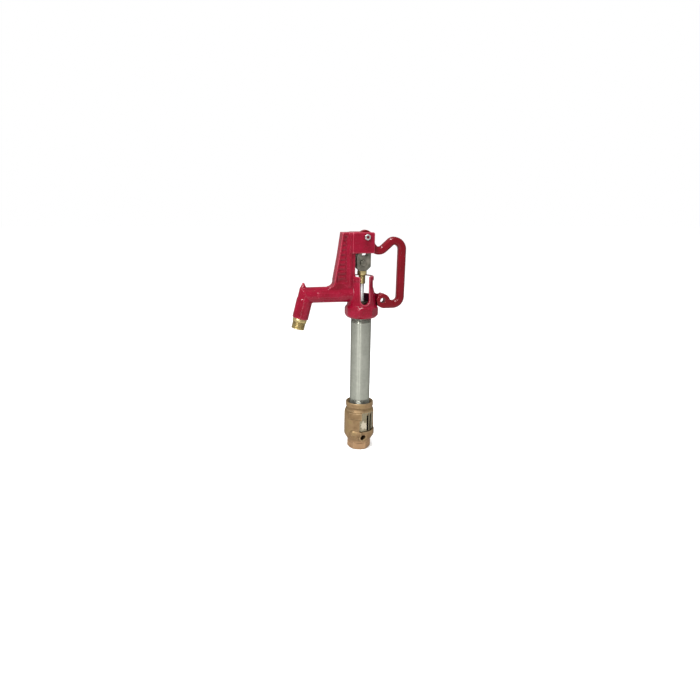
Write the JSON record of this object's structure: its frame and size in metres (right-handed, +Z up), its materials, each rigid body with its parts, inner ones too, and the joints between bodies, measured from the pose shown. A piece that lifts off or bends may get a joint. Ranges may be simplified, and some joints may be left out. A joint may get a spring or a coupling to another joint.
{
  "type": "frost-proof yard hydrant",
  "caption": "Lever-operated frost-proof yard hydrant: cast head with a downturned spout and hose thread, galvanised casing pipe and a bronze foot valve with a drain port.",
  "frame": {"origin": "centre of the threaded inlet's mouth, on the flat underside of the foot valve", "axes": "+Z up along the casing pipe and rod, -X towards the spout, +X towards the lever"},
  "size_m": [0.2376, 0.0677, 0.4636],
  "materials": {
    "head_paint": "rough cast iron under a crimson coating",
    "lever_paint": "smooth satin red paint",
    "galvanised": "galvanised, dull spangle with a soft sheen",
    "bronze": "as-cast bronze, machined on the rim",
    "brass": "machined",
    "oiled_brass": "dark with oil and tarnish",
    "zinc_plate": "olive zinc plate, satin",
    "bright_steel": "polished",
    "stainless": "drawn sheet",
    "bolt_steel": "bright zinc",
    "rubber": "matt black",
    "packing": "braided graphite",
    "guide_plastic": "moulded natural"
  },
  "bodies": {
    "hydrant_body": {"head_casting": "head_paint", "casing_pipe": "galvanised", "valve_body": "bronze", "pipe_coupling": "bronze", "drain_screen": "stainless", "valve_liner": "brass", "drain_bushing": "bronze", "valve_seat": "brass", "hose_nozzle": "brass", "packing_nut": "oiled_brass", "stem_packing": "packing", "packing_washer": "brass", "fulcrum_bolt": "bolt_steel", "fulcrum_nut": "bolt_steel", "fulcrum_lock_washer": "bolt_steel"},
    "handle": {"operating_handle": "lever_paint", "fulcrum_bushing": "bright_steel", "link_pin": "bolt_steel"},
    "rod": {"operating_rod": "bright_steel", "adjusting_sleeve": "brass", "lock_nut": "brass", "rod_connector": "zinc_plate", "set_screw": "bolt_steel", "rod_bolt": "zinc_plate", "rod_bolt_nut": "zinc_plate", "rod_guide": "guide_plastic", "plunger_body": "brass", "plunger_rings": "rubber", "plunger_seal": "rubber", "plunger_screw": "stainless"},
    "link": {"link_plate_front": "zinc_plate", "link_plate_back": "zinc_plate"}
  },
  "joints": [
    {"name": "handle_lift", "type": "hinge", "parent": "hydrant_body", "child": "handle", "pos_m": [0.0047, 0, 0.4503], "axis": [0, -1, 0], "range_deg": [0, 60]},
    {"name": "rod_slide", "type": "slide", "parent": "hydrant_body", "child": "rod", "axis": [0, 0, 1], "range_m": [0, 0.0138]},
    {"name": "link_swing", "type": "hinge", "parent": "rod", "child": "link", "pos_m": [0, 0, 0.398], "axis": [0, 1, 0], "range_deg": [0, 8]}
  ],
  "couplings": [
    {"joint": "rod_slide", "follows": "handle_lift", "m_per_rad": 0.013122},
    {"joint": "link_swing", "follows": "handle_lift", "ratio": 0.128}
  ]
}
